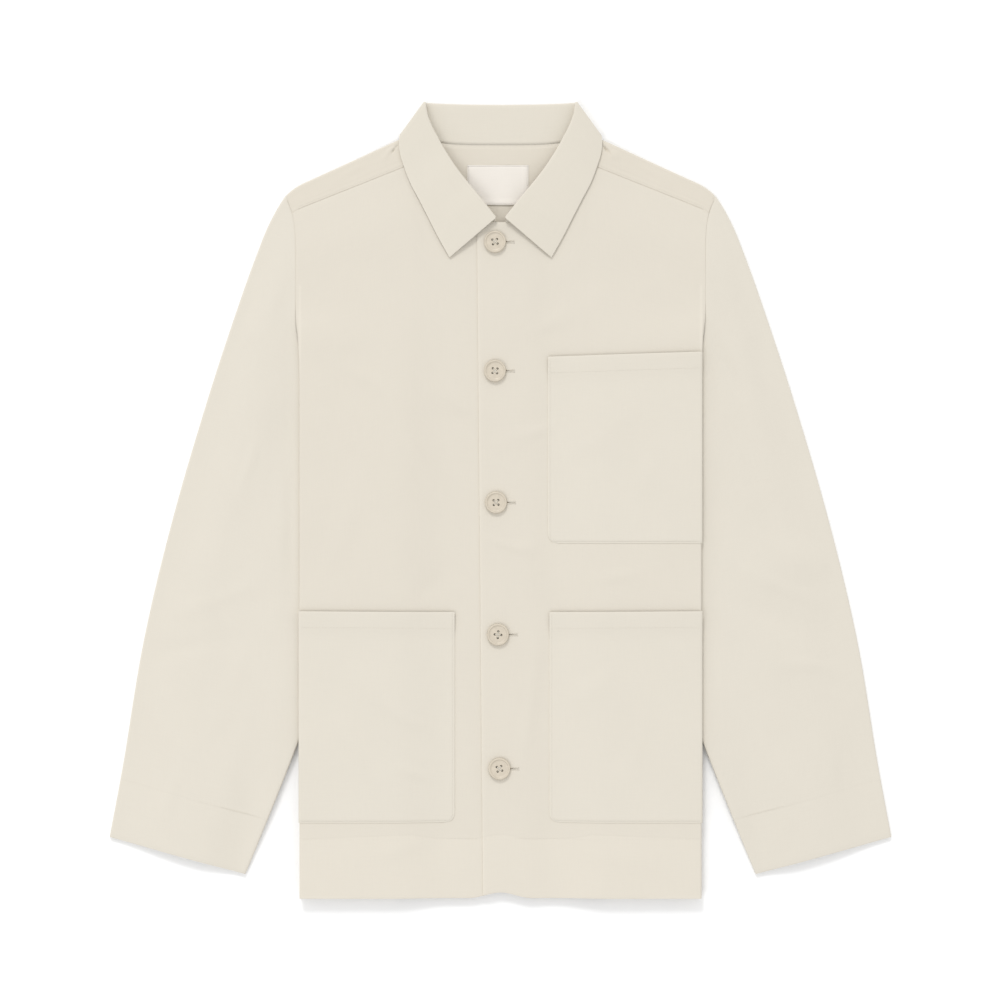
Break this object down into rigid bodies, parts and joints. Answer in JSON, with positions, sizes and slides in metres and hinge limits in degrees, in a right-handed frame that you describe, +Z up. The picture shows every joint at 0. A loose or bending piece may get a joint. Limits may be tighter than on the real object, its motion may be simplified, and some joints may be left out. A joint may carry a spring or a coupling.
{
  "type": "chore jacket",
  "caption": "Boxy cotton canvas chore jacket with a pointed collar, patch pockets and a buttoned front, laid flat on its back with the sleeves down.",
  "frame": {"origin": "on the surface the jacket lies on, below the middle of its outline", "axes": "+Z up from the surface, +Y from the hem to the collar, +X towards the wearer's left sleeve"},
  "size_m": [0.7524, 0.7644, 0.0153],
  "materials": {
    "ecru_canvas": "plain woven cotton canvas, matte",
    "buttons": "horn-coloured resin, satin",
    "woven_label": "woven satin tape, bare"
  },
  "bodies": {
    "root": {"back": "ecru_canvas", "front_left": "ecru_canvas", "front_right": "ecru_canvas", "sleeve_left": "ecru_canvas", "sleeve_right": "ecru_canvas", "collar": "ecru_canvas", "pocket_chest": "ecru_canvas", "pocket_lower_left": "ecru_canvas", "pocket_lower_right": "ecru_canvas", "button_1": "buttons", "button_2": "buttons", "button_3": "buttons", "button_4": "buttons", "button_5": "buttons", "label": "woven_label"}
  },
  "joints": []
}
